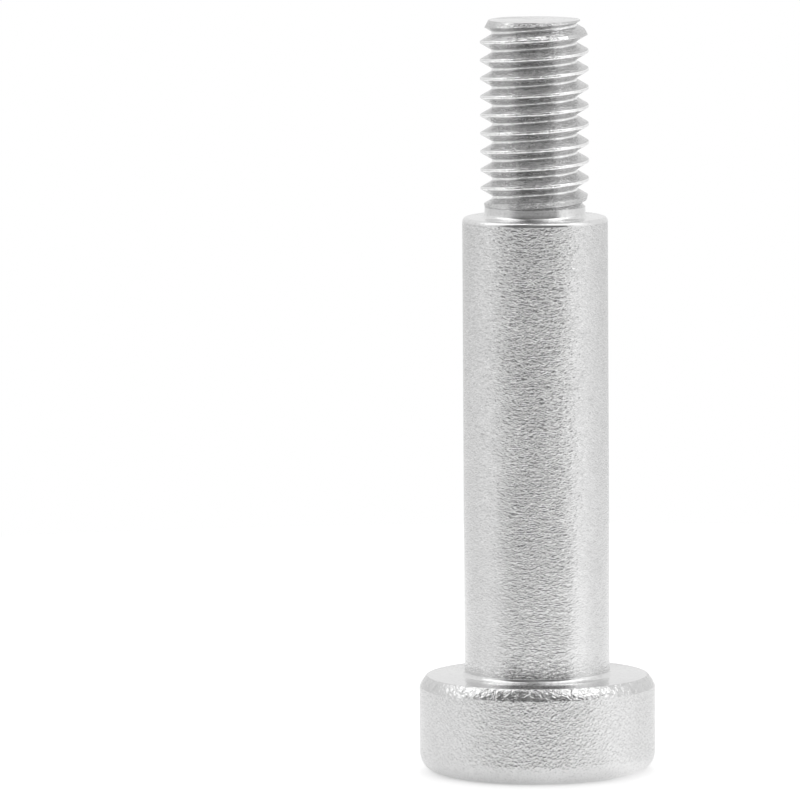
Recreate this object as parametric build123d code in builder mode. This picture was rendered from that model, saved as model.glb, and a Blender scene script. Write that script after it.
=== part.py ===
"""Hex socket shoulder bolt: an 8 mm by 25 mm ground shoulder between a round head and an M6 thread.

It stands on the end of its head. The origin is the middle of that end, and +Z runs up the bolt to the
tip of its thread. All sizes are in millimetres. The thread's first heights are taken on the +X side.
"""

import os
from math import ceil, radians, tan

from build123d import *

# Head
head_diameter = 12.95
head_height = 5.35
head_end_round = 0.85
head_bevel_width = 0.4
head_bevel_height = 0.62
head_bevel_bulge = 0.04

# Hex socket, broached down a drilled hole
socket_across_flats = 4.04
socket_depth = 3.4
drill_inset = 0.12
drill_point_angle = 118.0

# Shoulder
shoulder_diameter = 7.97
shoulder_length = 25.25
shoulder_seat_fillet = 0.24
shoulder_edge_round = 0.25

# Neck between the shoulder and the thread. Its fillet ends just outside the crests, so a plate that
# passes over the thread lies flat on the shoulder's top
neck_drop = 0.215
neck_length = 0.6
stop_clearance = 0.01

# Right-hand thread
thread_diameter = 5.95
thread_length = 10.8
thread_pitch = 1.0
thread_angle = 60.0
thread_root_flat = 0.14
first_groove_height = 0.59
crest_fade_length = 0.9
groove_fade_height = 1.0
groove_fade_length = 0.45
tip_diameter = 5.0
tip_taper_length = 1.3

# How far a cut passes the surface that it opens
overcut = 0.05

# Heights and radii that follow from the sizes
seat = head_height
shoulder_top = seat + shoulder_length
tip = shoulder_top + thread_length
head_radius = head_diameter / 2
shoulder_radius = shoulder_diameter / 2
crest_radius = thread_diameter / 2
neck_radius = crest_radius - neck_drop
neck_fillet = neck_drop + stop_clearance
tip_radius = tip_diameter / 2
drill_radius = socket_across_flats / 2 - drill_inset

# The groove's section: it is widest at the crests, and its flanks close on a narrow flat root
flank = tan(radians(thread_angle / 2))
crest_flat = thread_pitch / 8
groove_half_width = (thread_pitch - crest_flat) / 2
root_radius = crest_radius - (groove_half_width - thread_root_flat / 2) / flank
outer_radius = crest_radius + overcut
outer_half_width = groove_half_width + overcut * flank

# The groove starts a turn below its first place above the shoulder and runs on past the tip
groove_start = shoulder_top + first_groove_height - thread_pitch
groove_turns = ceil((tip - groove_start) / thread_pitch) + 1

# Slopes of the tapers, as radius over height
crest_fade = neck_drop / crest_fade_length
groove_fade = (neck_radius - root_radius) / groove_fade_length
tip_taper = (crest_radius - tip_radius) / tip_taper_length

STANDING = (Align.CENTER, Align.CENTER, Align.MIN)


def corner(sketch, radius, height):
    """The corner of an outline that lies nearest this radius and height."""
    return sketch.vertices().sort_by_distance((radius, height))[0]


# The helical groove, swept turn by turn
with BuildPart() as groove:
    with BuildLine() as path:
        for turn in range(groove_turns):
            turn_base = groove_start + turn * thread_pitch
            Helix(thread_pitch, thread_pitch, crest_radius, center=(0, 0, turn_base))
    with BuildSketch(Plane.XZ):
        with BuildLine():
            Polyline(
                (root_radius, groove_start + thread_root_flat / 2),
                (outer_radius, groove_start + outer_half_width),
                (outer_radius, groove_start - outer_half_width),
                (root_radius, groove_start - thread_root_flat / 2),
                close=True,
            )
        make_face()
    sweep(path=path.line, is_frenet=True)

# The thread: a grooved rod, cut to the taper at its tip and to the crests' fade above the neck
with BuildPart() as thread:
    with Locations((0, 0, groove_start - thread_pitch)):
        Cylinder(crest_radius, (groove_turns + 2) * thread_pitch, align=STANDING)
    add(groove.part, mode=Mode.SUBTRACT)
    with BuildSketch(Plane.XZ):
        with BuildLine():
            thread_foot = shoulder_top + overcut
            foot_radius = neck_radius - crest_fade * (neck_length - overcut)
            full_crest = shoulder_top + neck_length + crest_fade_length
            Polyline(
                (0, thread_foot),
                (foot_radius, thread_foot),
                (outer_radius, full_crest + overcut / crest_fade),
                (outer_radius, tip - tip_taper_length - overcut / tip_taper),
                (tip_radius, tip),
                (0, tip),
                close=True,
            )
        make_face()
    revolve(axis=Axis.Z, mode=Mode.INTERSECT)

with BuildPart() as bolt:
    # The head, the shoulder and the neck, which closes the groove with a cone that ends inside the thread
    with BuildSketch(Plane.XZ) as outline:
        with BuildLine():
            cone_top = shoulder_top + groove_fade_height + overcut / groove_fade
            bevel_foot = (head_radius, seat - head_bevel_height)
            bevel_top = (head_radius - head_bevel_width, seat)
            Polyline(
                bevel_top,
                (shoulder_radius, seat),
                (shoulder_radius, shoulder_top),
                (neck_radius, shoulder_top),
                (neck_radius, shoulder_top + groove_fade_height - groove_fade_length),
                (root_radius - overcut, cone_top),
                (0, cone_top),
                (0, 0),
                (head_radius, 0),
                bevel_foot,
            )
            SagittaArc(bevel_foot, bevel_top, head_bevel_bulge)
        make_face()
        fillet(corner(outline, head_radius, 0), head_end_round)
        fillet(corner(outline, shoulder_radius, seat), shoulder_seat_fillet)
        fillet(corner(outline, shoulder_radius, shoulder_top), shoulder_edge_round)
        fillet(corner(outline, neck_radius, shoulder_top), neck_fillet)
    revolve(axis=Axis.Z)
    add(thread.part)

    # The socket, with the point of the drilled hole below its flats
    with BuildSketch():
        RegularPolygon(socket_across_flats / 2, 6, major_radius=False)
    extrude(amount=socket_depth, mode=Mode.SUBTRACT)
    with Locations((0, 0, socket_depth)):
        drill_point_height = drill_radius / tan(radians(drill_point_angle / 2))
        Cone(drill_radius, 0, drill_point_height, align=STANDING, mode=Mode.SUBTRACT)

bolt.part.label = "shoulder_bolt"
os.makedirs("parts", exist_ok=True)
export_step(bolt.part, "parts/shoulder_bolt.step")
print("volume", round(bolt.part.volume, 2), "faces", len(bolt.faces()), "valid", bolt.part.is_valid)
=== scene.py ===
"""Hex socket shoulder bolt in satin stainless steel, standing on its head on a white table."""

from math import cos, hypot, pi, radians, sin, tan

import bpy
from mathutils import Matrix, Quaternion, Vector


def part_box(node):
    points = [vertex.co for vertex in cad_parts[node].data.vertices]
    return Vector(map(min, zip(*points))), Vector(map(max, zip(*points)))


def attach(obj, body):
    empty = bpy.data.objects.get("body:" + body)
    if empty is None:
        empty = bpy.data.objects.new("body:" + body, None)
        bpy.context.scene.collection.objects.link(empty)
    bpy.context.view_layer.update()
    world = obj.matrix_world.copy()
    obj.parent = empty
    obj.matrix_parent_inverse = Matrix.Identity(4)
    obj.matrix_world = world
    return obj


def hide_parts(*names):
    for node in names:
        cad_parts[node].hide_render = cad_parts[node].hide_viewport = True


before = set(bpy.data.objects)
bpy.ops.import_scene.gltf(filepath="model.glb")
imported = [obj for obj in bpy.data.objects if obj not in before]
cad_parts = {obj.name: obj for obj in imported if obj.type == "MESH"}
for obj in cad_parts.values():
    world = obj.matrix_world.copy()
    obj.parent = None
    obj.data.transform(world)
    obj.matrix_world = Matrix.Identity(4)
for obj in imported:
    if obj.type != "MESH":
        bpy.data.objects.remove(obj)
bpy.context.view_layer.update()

MM = 0.001
bolt_low, bolt_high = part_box("shoulder_bolt")

# Sizes that the frame gives
head_radius = min(bolt_high.x, bolt_high.y, -bolt_low.x, -bolt_low.y)
tip = bolt_high.z

# Head, shoulder and neck
seat = 5.35 * MM
head_end_round = 1.12 * MM
bevel_width = 0.4 * MM
bevel_height = 0.62 * MM
bevel_bulge = 0.04 * MM
bevel_steps = 6
bevel_foot_round = 0.11 * MM
bevel_top_round = 0.09 * MM
shoulder_radius = 3.985 * MM
shoulder_top = 30.6 * MM
seat_fillet = 0.24 * MM
shoulder_edge_round = 0.25 * MM
neck_radius = 2.76 * MM
neck_fillet = 0.225 * MM

# Thread
pitch = 1.0 * MM
thread_angle = radians(60)
crest_radius = 2.975 * MM
crest_flat = pitch / 8
crest_round = 0.055 * MM
root_round = 0.125 * MM
groove_radius = 2.342 * MM
first_groove = shoulder_top + 0.59 * MM
thread_turns = 13
winding_run_up = 1.5 * pitch
winding_trim = 1.2 * pitch
winding_overrun = 0.3 * pitch
crest_fade_start = shoulder_top + 0.6 * MM
crest_fade_end = shoulder_top + 1.5 * MM
groove_fade_start = shoulder_top + 0.55 * MM
groove_fade_end = shoulder_top + 1.0 * MM
tip_radius = 2.5 * MM
tip_taper = 0.9 * MM
tip_edge_round = 0.05 * MM

# Hex socket
socket_flats = 4.04 * MM
socket_depth = 3.4 * MM
drill_radius = 1.9 * MM
drill_angle = radians(118)
drill_overlap = 1.0 * MM

SIDES = 160
OVERCUT = 0.05 * MM
NEAR = 0.002 * MM
FACING = 0.9


# ---------------------------------------------------------------- modelling


def only(piece):
    """Selects this piece alone and makes it active."""
    bpy.ops.object.select_all(action="DESELECT")
    piece.select_set(True)
    bpy.context.view_layer.objects.active = piece


def drawn_line(name, points):
    """A line in the bolt's own half-plane, drawn point by point: (radius, height) pairs."""
    bpy.ops.object.select_all(action="DESELECT")
    radius, height = points[0]
    bpy.ops.mesh.primitive_plane_add(size=MM, location=(radius, 0, height))
    line = bpy.context.object
    line.name = line.data.name = name
    bpy.ops.object.transform_apply(location=True, rotation=True, scale=True)
    bpy.ops.object.mode_set(mode="EDIT")
    bpy.ops.mesh.select_mode(type="VERT")
    bpy.ops.mesh.select_all(action="SELECT")
    bpy.ops.mesh.merge(type="CENTER")
    for next_radius, next_height in points[1:]:
        step = (next_radius - radius, 0, next_height - height)
        bpy.ops.mesh.extrude_vertices_move(TRANSFORM_OT_translate={"value": step})
        radius, height = next_radius, next_height
    bpy.ops.object.mode_set(mode="OBJECT")
    return line


def rounded(line, point, radius, segments):
    """Rounds the drawn line's corner at this point to a radius."""
    only(line)
    place = Vector((point[0], 0, point[1]))
    corner = min(line.data.vertices, key=lambda v: (v.co - place).length)
    arms = [
        line.data.vertices[other].co - corner.co
        for edge in line.data.edges
        if corner.index in edge.vertices
        for other in edge.vertices
        if other != corner.index
    ]
    reach = radius / tan(arms[0].angle(arms[1]) / 2)
    index = corner.index
    bpy.ops.object.mode_set(mode="EDIT")
    bpy.ops.mesh.select_all(action="DESELECT")
    bpy.ops.object.mode_set(mode="OBJECT")
    line.data.vertices[index].select = True
    bpy.ops.object.mode_set(mode="EDIT")
    bpy.ops.mesh.bevel(
        offset=reach, offset_type="OFFSET", segments=segments, profile=0.5, affect="VERTICES"
    )
    bpy.ops.object.mode_set(mode="OBJECT")


def closed_up(piece):
    """Merges a piece's doubles and turns its faces outward."""
    only(piece)
    bpy.ops.object.mode_set(mode="EDIT")
    bpy.ops.mesh.select_all(action="SELECT")
    bpy.ops.mesh.remove_doubles(threshold=NEAR / 4)
    bpy.ops.mesh.normals_make_consistent(inside=False)
    bpy.ops.object.mode_set(mode="OBJECT")


def turned(line):
    """Spins a drawn line once round the bolt's axis."""
    only(line)
    bpy.ops.object.mode_set(mode="EDIT")
    bpy.ops.mesh.select_all(action="SELECT")
    bpy.ops.mesh.spin(steps=SIDES, angle=2 * pi, center=(0, 0, 0), axis=(0, 0, 1))
    bpy.ops.object.mode_set(mode="OBJECT")
    closed_up(line)
    return line


def cut(piece, height, keep_above):
    """Cuts a piece level at a height, keeps one side of it and closes the cut."""
    only(piece)
    bpy.ops.object.mode_set(mode="EDIT")
    bpy.ops.mesh.select_all(action="SELECT")
    bpy.ops.mesh.bisect(
        plane_co=(0, 0, height),
        plane_no=(0, 0, 1),
        use_fill=True,
        clear_inner=keep_above,
        clear_outer=not keep_above,
        threshold=NEAR / 20,
    )
    bpy.ops.object.mode_set(mode="OBJECT")


def applied(piece, kind, **settings):
    """Adds a modifier to a piece and applies it."""
    only(piece)
    modifier = piece.modifiers.new(kind.title(), kind)
    for name, value in settings.items():
        setattr(modifier, name, value)
    bpy.ops.object.modifier_apply(modifier=modifier.name)


def joined_with(piece, tool, operation):
    """Unites a piece with a tool, keeps what they share, or cuts the tool out of it."""
    applied(piece, "BOOLEAN", operation=operation, solver="EXACT", object=tool)
    bpy.data.objects.remove(tool)


def turned_body():
    """The head, the shoulder and the neck, which ends in a cone inside the thread."""
    bevel_foot = Vector((head_radius, seat - bevel_height))
    bevel_top = Vector((head_radius - bevel_width, seat))
    along = bevel_top - bevel_foot
    outward = Vector((along.y, -along.x)).normalized()
    bevel = [
        tuple(bevel_foot + along * t + outward * bevel_bulge * 4 * t * (1 - t))
        for t in (step / bevel_steps for step in range(bevel_steps + 1))
    ]
    groove_fade = (neck_radius - groove_radius) / (groove_fade_end - groove_fade_start)
    outline = [
        (0, 0),
        (head_radius, 0),
        *bevel,
        (shoulder_radius, seat),
        (shoulder_radius, shoulder_top),
        (neck_radius, shoulder_top),
        (neck_radius, groove_fade_start),
        (groove_radius - OVERCUT, groove_fade_end + OVERCUT / groove_fade),
        (0, groove_fade_end + OVERCUT / groove_fade),
    ]
    line = drawn_line("bolt", outline)
    rounded(line, (head_radius, 0), head_end_round, segments=14)
    rounded(line, bevel[0], bevel_foot_round, segments=4)
    rounded(line, bevel[-1], bevel_top_round, segments=4)
    rounded(line, (shoulder_radius, seat), seat_fillet, segments=8)
    rounded(line, (shoulder_radius, shoulder_top), shoulder_edge_round, segments=8)
    rounded(line, (neck_radius, shoulder_top), neck_fillet, segments=8)
    return turned(line)


def thread_blank():
    """The rod that the thread is cut to, narrower at the neck and at the tip."""
    fade = (crest_radius - neck_radius) / (crest_fade_end - crest_fade_start)
    taper = (crest_radius - tip_radius) / tip_taper
    foot = shoulder_top + OVERCUT
    outer = crest_radius + OVERCUT
    outline = [
        (0, foot),
        (neck_radius - fade * (crest_fade_start - foot), foot),
        (outer, crest_fade_end + OVERCUT / fade),
        (outer, tip - tip_taper - OVERCUT / taper),
        (tip_radius, tip),
        (0, tip),
    ]
    line = drawn_line("thread_blank", outline)
    rounded(line, (tip_radius, tip), tip_edge_round, segments=3)
    return turned(line)


def wound_thread():
    """The thread: one pitch of its section wound up the bolt, then cut to its blank."""
    start = first_groove - winding_run_up
    side = (pitch - crest_flat) / 2
    groove_bottom = crest_radius - side / tan(thread_angle / 2)
    section = [
        (crest_radius, start),
        (crest_radius, start + crest_flat / 2),
        (groove_bottom, start + pitch / 2),
        (crest_radius, start + pitch - crest_flat / 2),
        (crest_radius, start + pitch),
    ]
    line = drawn_line("thread", section)
    rounded(line, section[2], root_round, segments=6)
    rounded(line, section[1], crest_round, segments=2)
    rounded(line, section[3], crest_round, segments=2)
    applied(
        line,
        "SCREW",
        axis="Z",
        angle=2 * pi,
        screw_offset=pitch,
        iterations=thread_turns,
        steps=SIDES,
        render_steps=SIDES,
        use_merge_vertices=True,
        merge_threshold=NEAR / 4,
        use_smooth_shade=False,
    )
    closed_up(line)
    # The cuts stay clear of the winding's first and last turns, which aren't whole all round.
    cut(line, start + winding_trim, keep_above=True)
    cut(line, tip + winding_overrun, keep_above=False)
    closed_up(line)
    joined_with(line, thread_blank(), "INTERSECT")
    return line


def socket_tool():
    """The tool that cuts the hex socket, with the drilled hole's point at its inner end."""
    bpy.ops.object.select_all(action="DESELECT")
    height = socket_depth + OVERCUT
    bpy.ops.mesh.primitive_cylinder_add(
        vertices=6,
        radius=socket_flats / 2 / cos(radians(30)),
        depth=height,
        location=(0, 0, height / 2 - OVERCUT),
        rotation=(0, 0, radians(30)),
    )
    broach = bpy.context.object
    bpy.ops.object.transform_apply(location=True, rotation=True, scale=True)
    bpy.ops.object.select_all(action="DESELECT")
    point_height = drill_radius / tan(drill_angle / 2)
    bpy.ops.mesh.primitive_cone_add(
        vertices=96,
        radius1=drill_radius,
        radius2=0,
        depth=point_height,
        location=(0, 0, socket_depth + point_height / 2),
    )
    point = bpy.context.object
    bpy.ops.object.transform_apply(location=True, rotation=True, scale=True)
    bpy.ops.object.mode_set(mode="EDIT")
    bpy.ops.mesh.select_all(action="DESELECT")
    bpy.ops.mesh.select_mode(type="FACE")
    bpy.ops.object.mode_set(mode="OBJECT")
    for face in point.data.polygons:
        face.select = face.normal.z < -FACING
    bpy.ops.object.mode_set(mode="EDIT")
    bpy.ops.mesh.extrude_region_move(TRANSFORM_OT_translate={"value": (0, 0, -drill_overlap)})
    bpy.ops.object.mode_set(mode="OBJECT")
    joined_with(broach, point, "UNION")
    return broach


# ---------------------------------------------------------------- shader nodes


def grey(level):
    """A colour with this level in each channel."""
    return (level, level, level, 1)


def feed(tree, target, inputs):
    """Gives each of a node's inputs a value, or links the output that feeds it."""
    for name, value in inputs.items():
        if isinstance(value, bpy.types.NodeSocket):
            tree.links.new(value, target.inputs[name])
        else:
            target.inputs[name].default_value = value


def node(tree, kind, inputs=None, **settings):
    """Adds a shader node with its settings and inputs, and returns its outputs."""
    made = tree.nodes.new("ShaderNode" + kind)
    for name, value in settings.items():
        setattr(made, name, value)
    feed(tree, made, inputs or {})
    return made.outputs


def maths(tree, operation, *values):
    """The result of an operation on values."""
    return node(tree, "Math", dict(enumerate(values)), operation=operation)["Value"]


def mixed(tree, share, first, second, blend="MIX"):
    """Two colours mixed by the share of the second."""
    inputs = {"Fac": share, "Color1": first, "Color2": second}
    return node(tree, "MixRGB", inputs, blend_type=blend)["Color"]


def remapped(tree, value, start, end, low=0.0, high=1.0, interpolation="LINEAR"):
    """A value carried from one range to another, and held at the ends."""
    inputs = {"Value": value, "From Min": start, "From Max": end, "To Min": low, "To Max": high}
    return node(tree, "MapRange", inputs, interpolation_type=interpolation)["Result"]


def grey_ramp(tree, value, stops):
    """Grey levels along a value: (position, level) pairs in order."""
    made = tree.nodes.new("ShaderNodeValToRGB")
    feed(tree, made, {"Fac": value})
    elements = made.color_ramp.elements
    for position, _ in stops[1:-1]:
        elements.new(position)
    for (position, level), element in zip(stops, elements):
        element.position = position
        element.color = grey(level)
    return made.outputs["Color"]


# ---------------------------------------------------------------- finishes

darker_steel = 0.63
paler_steel = 0.67
mottle_size = 1.6 * MM
mottle_range = (0.3, 0.7)
gloss_spread = 0.15
# Painted shade in the grain's pits: grain below this range darkens the colour by the pit shade
# below.
painted_pit_shade_range = (0.3, 0.5)
pit_shade = 0.12
ring_size = 0.07 * MM

# The shoulder's grain is at its full strength above the calm heights, and weaker below them.
calm_from = seat + 5 * MM
calm_to = seat + 13 * MM
calm_grain = 0.42

# Bands of finish
socket_reach = 2.36 * MM
socket_limit = 6 * MM
foot_band = 0.8 * MM
neck_band = 0.5 * MM
# Upright faces this near the crest or the root get the painted highlight.
crest_margin = 0.05 * MM
root_margin = 0.04 * MM
flank_normal = 0.75


def steel(
    name,
    roughness,
    grain,
    grain_size,
    flatten=1.0,
    twist=0.0,
    rings=0.0,
    smoother_below=False,
    tone_shift=0.0,
):
    """Stainless steel with a grain, flattened along the bolt, and turning rings if it has any.
    Its pits get painted shade; a positive tone shift paints light and a negative one paints
    shade.
    """
    material = bpy.data.materials.new(name)
    material.use_nodes = True
    tree = material.node_tree
    place = node(tree, "TexCoord")["Object"]

    inputs = {"Vector": place, "Scale": 1 / mottle_size, "Detail": 4.0}
    mottle = node(tree, "TexNoise", inputs)["Fac"]
    tones = (darker_steel + tone_shift, paler_steel + tone_shift)
    tone = grey_ramp(tree, mottle, list(zip(mottle_range, tones)))
    smoothest, roughest = roughness * (1 - gloss_spread), roughness * (1 + gloss_spread)
    gloss = remapped(tree, mottle, *mottle_range, smoothest, roughest)

    squashed = node(tree, "Mapping", {"Vector": place, "Scale": (1, 1, flatten)})["Vector"]
    inputs = {
        "Vector": squashed,
        "Scale": 1 / grain_size,
        "Detail": 2.0,
        "Roughness": 0.6,
        "Distortion": twist,
    }
    pebbles = node(tree, "TexNoise", inputs)["Fac"]
    # Painted shade: the grain's low spots darken the steel's colour, standing in for shade in its
    # pits.
    painted_shade_in_pits = remapped(tree, pebbles, *painted_pit_shade_range, 1 - pit_shade, 1.0)
    mottle_with_painted_pit_shade = mixed(tree, 1.0, tone, painted_shade_in_pits, "MULTIPLY")

    strength = 1.0
    if smoother_below:
        height = node(tree, "SeparateXYZ", {"Vector": place})["Z"]
        strength = remapped(tree, height, calm_from, calm_to, calm_grain, 1.0)
    inputs = {"Height": pebbles, "Distance": grain, "Strength": strength}
    normal = node(tree, "Bump", inputs)["Normal"]
    if rings:
        split = node(tree, "SeparateXYZ", {"Vector": place})
        flat = node(tree, "CombineXYZ", {"X": split["X"], "Y": split["Y"]})["Vector"]
        out = node(tree, "VectorMath", {0: flat}, operation="LENGTH")["Value"]
        lane = node(tree, "CombineXYZ", {"X": out, "Y": split["Z"]})["Vector"]
        inputs = {"Vector": lane, "Scale": 1 / ring_size, "Detail": 2.0}
        lines = node(tree, "TexNoise", inputs)["Fac"]
        inputs = {"Height": lines, "Distance": rings, "Strength": 1.0, "Normal": normal}
        normal = node(tree, "Bump", inputs)["Normal"]
    inputs = {"Metallic": 1.0, "Roughness": gloss, "Base Color": mottle_with_painted_pit_shade, "Normal": normal}
    feed(tree, tree.nodes["Principled BSDF"], inputs)
    return material


def finish_by_place(bolt):
    """Gives each band of the bolt its own finish. The turned faces carry painted light, the
    thread painted shade, and its crests and roots a painted highlight.
    """
    finishes = [
        steel(
            "ground_shoulder",
            roughness=0.10,
            grain=0.075 * MM,
            grain_size=0.32 * MM,
            flatten=2.5,
            twist=1.0,
            smoother_below=True,
        ),
        steel(
            "head_side", roughness=0.10, grain=0.066 * MM, grain_size=0.15 * MM, twist=0.6
        ),
        steel(
            "tumbled_bevel", roughness=0.08, grain=0.085 * MM, grain_size=0.30 * MM, twist=0.8
        ),
        # Painted light: the turned faces, the shoulder's foot and top edge, and the neck get a
        # paler tone than the other steel.
        steel(
            "turned_face_painted_light",
            roughness=0.12,
            grain=0.006 * MM,
            grain_size=0.2 * MM,
            rings=0.008 * MM,
            tone_shift=0.1,
        ),
        # Painted shade: the thread gets a darker tone than the other steel.
        steel(
            "rolled_thread_painted_shade",
            roughness=0.10,
            grain=0.07 * MM,
            grain_size=0.45 * MM,
            flatten=5.0,
            twist=1.0,
            tone_shift=-0.06,
        ),
        # Painted highlight: upright faces at the thread's crests and roots get a much paler tone,
        # and are smoother.
        steel(
            "crest_painted_highlight",
            roughness=0.08,
            grain=0.03 * MM,
            grain_size=0.3 * MM,
            flatten=3.0,
            twist=1.0,
            tone_shift=0.24,
        ),
        steel("broached_socket", roughness=0.3, grain=0.006 * MM, grain_size=0.15 * MM),
    ]
    for finish in finishes:
        bolt.data.materials.append(finish)
    shoulder, head_side, bevel, turned_face_painted_light, thread, painted_crest_highlight, socket = range(len(finishes))
    for face in bolt.data.polygons:
        radius, height = hypot(face.center.x, face.center.y), face.center.z
        upright = abs(face.normal.z) < flank_normal
        at_crest = radius > crest_radius - crest_margin
        at_root = radius < groove_radius + root_margin
        if radius < socket_reach and NEAR < height < socket_limit:
            finish = socket
        elif height > first_groove and upright and (at_crest or at_root):
            finish = painted_crest_highlight
        elif height > tip - NEAR:
            finish = turned_face_painted_light
        elif height > shoulder_top + neck_band:
            finish = thread
        elif height > shoulder_top - shoulder_edge_round:
            finish = turned_face_painted_light
        elif height > seat + foot_band:
            finish = shoulder
        elif height > seat - NEAR or height < NEAR:
            finish = turned_face_painted_light
        elif height > seat - bevel_height:
            finish = bevel
        else:
            finish = head_side
        face.material_index = finish


bolt = turned_body()
joined_with(bolt, wound_thread(), "UNION")
joined_with(bolt, socket_tool(), "DIFFERENCE")
closed_up(bolt)
bolt.data.materials.clear()
finish_by_place(bolt)
only(bolt)
bpy.ops.object.shade_smooth_by_angle(angle=radians(32))
applied(bolt, "WEIGHTED_NORMAL", keep_sharp=True, weight=50, mode="FACE_AREA")
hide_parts("shoulder_bolt")
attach(bolt, "root")


# ---------------------------------------------------------------- table and light

table_radius = 0.11
table_grey = 0.86
table_roughness = 0.9

# The table's glow to the camera, which makes it white there
table_glow = 0.4

# The room's level for all light but reflections
ambient = 0.8

# The highest level that a ramp can hold, which the lists below stay under
brightest = 2.0

# Elevations between which the walls turn into the next band of levels
face_band = (radians(-7), radians(16))
ceiling_band = (radians(28), radians(50))

# Levels in reflections: (azimuth in degrees, level). Azimuth 0 is the camera's side, and
# positive is its right.
wall_levels = [
    (-180, 0.9),
    (-142, 0.78),
    (-113, 0.73),
    (-92, 0.73),
    (-75, 0.74),
    (-60, 0.7),
    (-48, 0.52),
    (-36, 0.4),
    (-19, 0.36),
    (0, 0.36),
    (19, 0.4),
    (34, 0.44),
    (50, 0.5),
    (58, 0.9),
    (66, 1.0),
    (80, 1.02),
    (96, 0.94),
    (120, 0.86),
    (180, 0.9),
]
face_levels = [
    (-180, 0.9),
    (-113, 0.92),
    (-85, 1.05),
    (-68, 0.8),
    (-50, 0.26),
    (-36, 0.17),
    (20, 0.17),
    (42, 0.22),
    (52, 0.32),
    (60, 1.0),
    (68, 1.15),
    (84, 1.2),
    (110, 0.95),
    (180, 0.9),
]
ceiling_levels = [
    (-180, 0.95),
    (-128, 1.1),
    (-106, 1.65),
    (-80, 1.75),
    (-66, 1.0),
    (-54, 0.34),
    (-38, 0.2),
    (-22, 0.26),
    (-8, 0.42),
    (8, 0.55),
    (24, 0.6),
    (38, 0.8),
    (52, 1.3),
    (64, 1.9),
    (84, 1.95),
    (98, 1.4),
    (112, 0.95),
    (180, 0.95),
]
# The table's glow in reflections, by the azimuth of each point on it: painted light, brighter on
# the right.
painted_table_light_levels = [
    (-180, 0.3),
    (-101, 0.36),
    (-67, 0.38),
    (-52, 0.38),
    (-15, 0.38),
    (0, 0.42),
    (13, 0.45),
    (39, 0.48),
    (53, 0.6),
    (68, 0.65),
    (84, 0.5),
    (103, 0.38),
    (180, 0.3),
]

# Softboxes: name, azimuth, elevation, side and radiance
softboxes = [
    ("right_softbox", radians(78), radians(48), 0.3, 0.35),
    ("left_softbox", radians(-95), radians(42), 0.3, 0.35),
    ("overhead_softbox", pi, radians(76), 0.22, 2.0),
]
softbox_distance = 0.6

# The camera looks at a point left of the bolt's middle and a little below it.
camera_distance = 0.5875
camera_elevation = radians(6.41)
camera_roll = radians(-0.36)
camera_lens = 482.5
aim_left = 7.445 * MM
aim_below = 0.15 * MM


def by_azimuth(tree, direction, levels):
    """Grey levels round the bolt, by the azimuth of a direction."""
    split = node(tree, "SeparateXYZ", {"Vector": direction})
    toward = maths(tree, "MULTIPLY", split["Y"], -1.0)
    turn = remapped(tree, maths(tree, "ARCTAN2", split["X"], toward), -pi, pi)
    stops = [((azimuth + 180) / 360, level / brightest) for azimuth, level in levels]
    return mixed(tree, 1.0, grey_ramp(tree, turn, stops), grey(brightest), "MULTIPLY")


def white_table():
    """A small round white table, which keeps the bolt's shadow. In reflections it glows, brighter
    on its right: painted light.
    """
    bpy.ops.object.select_all(action="DESELECT")
    bpy.ops.mesh.primitive_circle_add(
        vertices=96, radius=table_radius, fill_type="NGON", location=(0, 0, 0)
    )
    table = bpy.context.object
    table.name = "table"
    material = bpy.data.materials.new("white_table")
    material.use_nodes = True
    tree = material.node_tree
    # Painted light: in reflections the table glows by the levels above, brighter on its right.
    mirrored = by_azimuth(tree, node(tree, "TexCoord")["Object"], painted_table_light_levels)
    rays = node(tree, "LightPath")
    seen = maths(tree, "MULTIPLY", rays["Is Camera Ray"], table_glow)
    inputs = {
        "Base Color": grey(table_grey),
        "Roughness": table_roughness,
        "Specular IOR Level": 0.0,
        "Emission Color": grey(1.0),
        "Emission Strength": maths(
            tree, "MULTIPLY_ADD", rays["Is Glossy Ray"], mirrored, seen
        ),
    }
    feed(tree, tree.nodes["Principled BSDF"], inputs)
    table.data.materials.append(material)


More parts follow.
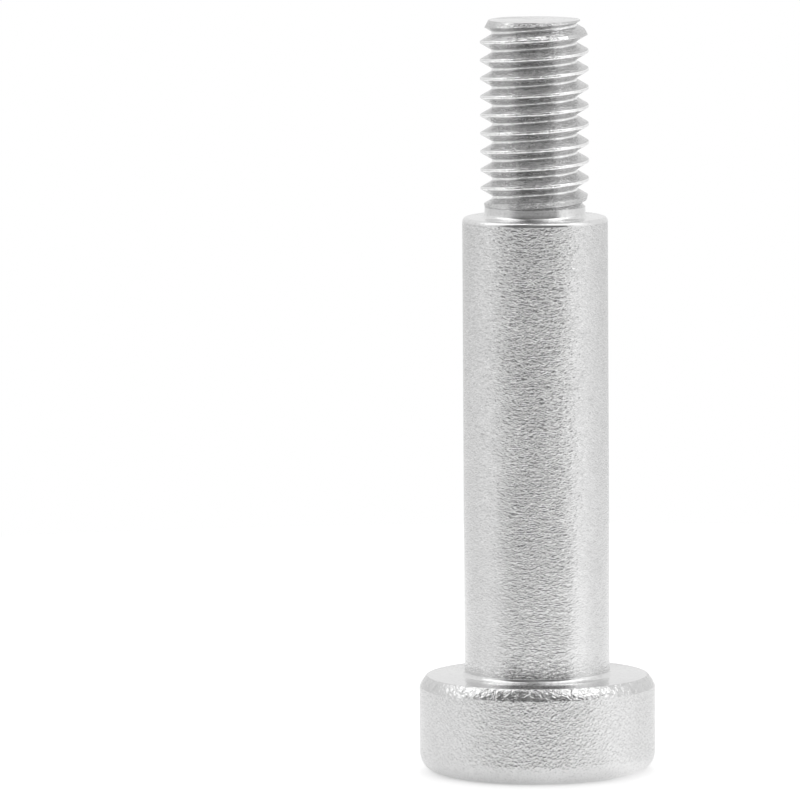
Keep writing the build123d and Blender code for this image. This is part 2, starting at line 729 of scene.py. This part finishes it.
def pale_room():
    """A white backdrop, and in reflections a room that is darker on the camera's side."""
    world = bpy.context.scene.world or bpy.data.worlds.new("room")
    bpy.context.scene.world = world
    world.use_nodes = True
    tree = world.node_tree
    tree.nodes.clear()
    direction = node(tree, "TexCoord")["Generated"]
    rise = node(tree, "SeparateXYZ", {"Vector": direction})["Z"]
    walls = by_azimuth(tree, direction, wall_levels)
    for levels, (low, high) in ((face_levels, face_band), (ceiling_levels, ceiling_band)):
        share = remapped(tree, rise, sin(low), sin(high), interpolation="SMOOTHSTEP")
        walls = mixed(tree, share, walls, by_azimuth(tree, direction, levels))
    rays = node(tree, "LightPath")
    mirrored = maths(tree, "MAXIMUM", rays["Is Glossy Ray"], rays["Is Transmission Ray"])
    unseen = mixed(tree, mirrored, grey(ambient), walls)
    colour = mixed(tree, rays["Is Camera Ray"], unseen, grey(1.0))
    background = node(tree, "Background", {"Color": colour})["Background"]
    node(tree, "OutputWorld", {"Surface": background})


def softbox(name, azimuth, elevation, side, radiance):
    """A square lamp that faces the bolt's middle."""
    middle = Vector((0, 0, tip / 2))
    out = Vector(
        (sin(azimuth) * cos(elevation), -cos(azimuth) * cos(elevation), sin(elevation))
    )
    lamp = bpy.data.lights.new(name, "AREA")
    lamp.shape = "SQUARE"
    lamp.size = side
    lamp.energy = radiance * pi * side * side
    holder = bpy.data.objects.new(name, lamp)
    bpy.context.scene.collection.objects.link(holder)
    holder.location = middle + out * softbox_distance
    holder.rotation_euler = out.to_track_quat("Z", "Y").to_euler()


def camera():
    """A long lens, low on the table, with the bolt right of the middle."""
    aim = Vector((-aim_left, 0, tip / 2 - aim_below))
    lens = bpy.data.cameras.new("camera")
    lens.sensor_width = 36.0
    lens.lens = camera_lens
    lens.clip_start = 0.01
    holder = bpy.data.objects.new("camera", lens)
    bpy.context.scene.collection.objects.link(holder)
    out = Vector((0, -cos(camera_elevation), sin(camera_elevation)))
    holder.location = aim + out * camera_distance
    level = out.to_track_quat("Z", "Y")
    holder.rotation_euler = (level @ Quaternion((0, 0, 1), camera_roll)).to_euler()
    bpy.context.scene.camera = holder


white_table()
pale_room()
for box in softboxes:
    softbox(*box)
camera()
bpy.context.scene.view_settings.view_transform = "Standard"
